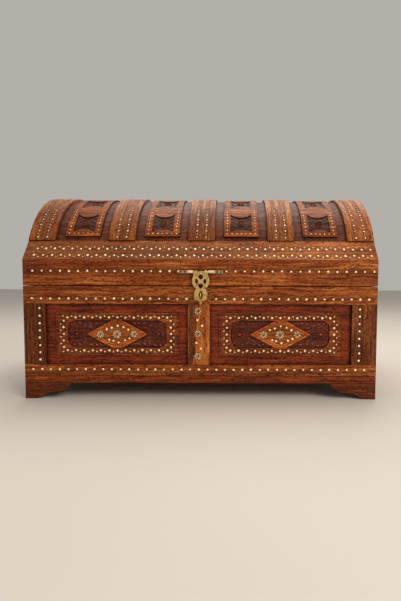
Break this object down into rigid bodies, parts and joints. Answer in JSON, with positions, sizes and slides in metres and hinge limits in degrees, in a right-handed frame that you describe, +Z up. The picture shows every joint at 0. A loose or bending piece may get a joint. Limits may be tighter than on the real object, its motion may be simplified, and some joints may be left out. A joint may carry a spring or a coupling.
{
  "type": "dowry chest",
  "caption": "Barrel-topped wooden chest of frame-and-panel work with a hinged lid, pierced brass hasp and staple, and bracket feet.",
  "frame": {"origin": "on the floor, under the middle of the case", "axes": "+Z up; +X along the chest's length, to the right as seen from the hasp side; -Y towards the hasp side"},
  "size_m": [0.6, 0.3822, 0.364],
  "materials": {
    "frame_wood": "waxed, straight grained",
    "panel_wood": "waxed, dark red, carved",
    "barrel_wood": "waxed, dark",
    "strap_wood": "waxed, lighter",
    "base_wood": "waxed",
    "inner_wood": "planed, unpolished",
    "hasp_brass": "cast, aged",
    "hanger_brass": "drawn and hammered, dull",
    "hinge_brass": "pressed, satin",
    "nail_iron": "blackened"
  },
  "bodies": {
    "case": {"back_bottom_rail": "frame_wood", "back_centre_post": "frame_wood", "back_left_foot": "base_wood", "back_left_panel": "panel_wood", "back_left_post": "frame_wood", "back_right_foot": "base_wood", "back_right_panel": "panel_wood", "back_right_post": "frame_wood", "back_top_rail": "frame_wood", "base_strip_back": "base_wood", "base_strip_front": "base_wood", "base_strip_left": "base_wood", "base_strip_right": "base_wood", "bottom_board": "inner_wood", "front_bottom_rail": "frame_wood", "front_centre_post": "frame_wood", "front_left_foot": "base_wood", "front_left_panel": "panel_wood", "front_left_post": "frame_wood", "front_right_foot": "base_wood", "front_right_panel": "panel_wood", "front_right_post": "frame_wood", "front_top_rail": "frame_wood", "hasp_staple": "hasp_brass", "hinge_case_screws": "hinge_brass", "left_end_bottom_rail": "frame_wood", "left_end_panel": "panel_wood", "left_end_stiles": "frame_wood", "left_end_top_rail": "frame_wood", "left_hinge_case_leaf": "hinge_brass", "left_hinge_pin": "hinge_brass", "right_end_bottom_rail": "frame_wood", "right_end_panel": "panel_wood", "right_end_stiles": "frame_wood", "right_end_top_rail": "frame_wood", "right_hinge_case_leaf": "hinge_brass", "right_hinge_pin": "hinge_brass"},
    "lid": {"hanger_nails": "nail_iron", "hasp_hanger": "hanger_brass", "hinge_lid_screws": "hinge_brass", "left_hinge_lid_leaf": "hinge_brass", "lid_back_band": "frame_wood", "lid_back_rail": "frame_wood", "lid_front_band": "frame_wood", "lid_front_rail": "frame_wood", "lid_left_end": "frame_wood", "lid_right_end": "frame_wood", "lid_staves": "barrel_wood", "lid_strap_1": "strap_wood", "lid_strap_2": "strap_wood", "lid_strap_3": "strap_wood", "lid_strap_4": "strap_wood", "lid_strap_5": "strap_wood", "lid_tablet_1": "strap_wood", "lid_tablet_2": "strap_wood", "lid_tablet_3": "strap_wood", "lid_tablet_4": "strap_wood", "right_hinge_lid_leaf": "hinge_brass"},
    "hasp": {"hasp_plate": "hasp_brass"}
  },
  "joints": [
    {"name": "lid_hinge", "type": "hinge", "parent": "case", "child": "lid", "pos_m": [0, 0.1837, 0.1937], "axis": [-1, 0, 0], "range_deg": [0, 100]},
    {"name": "hasp_hinge", "type": "hinge", "parent": "lid", "child": "hasp", "pos_m": [0.001, -0.1842, 0.2175], "axis": [-1, 0, 0], "range_deg": [0, 175]}
  ]
}
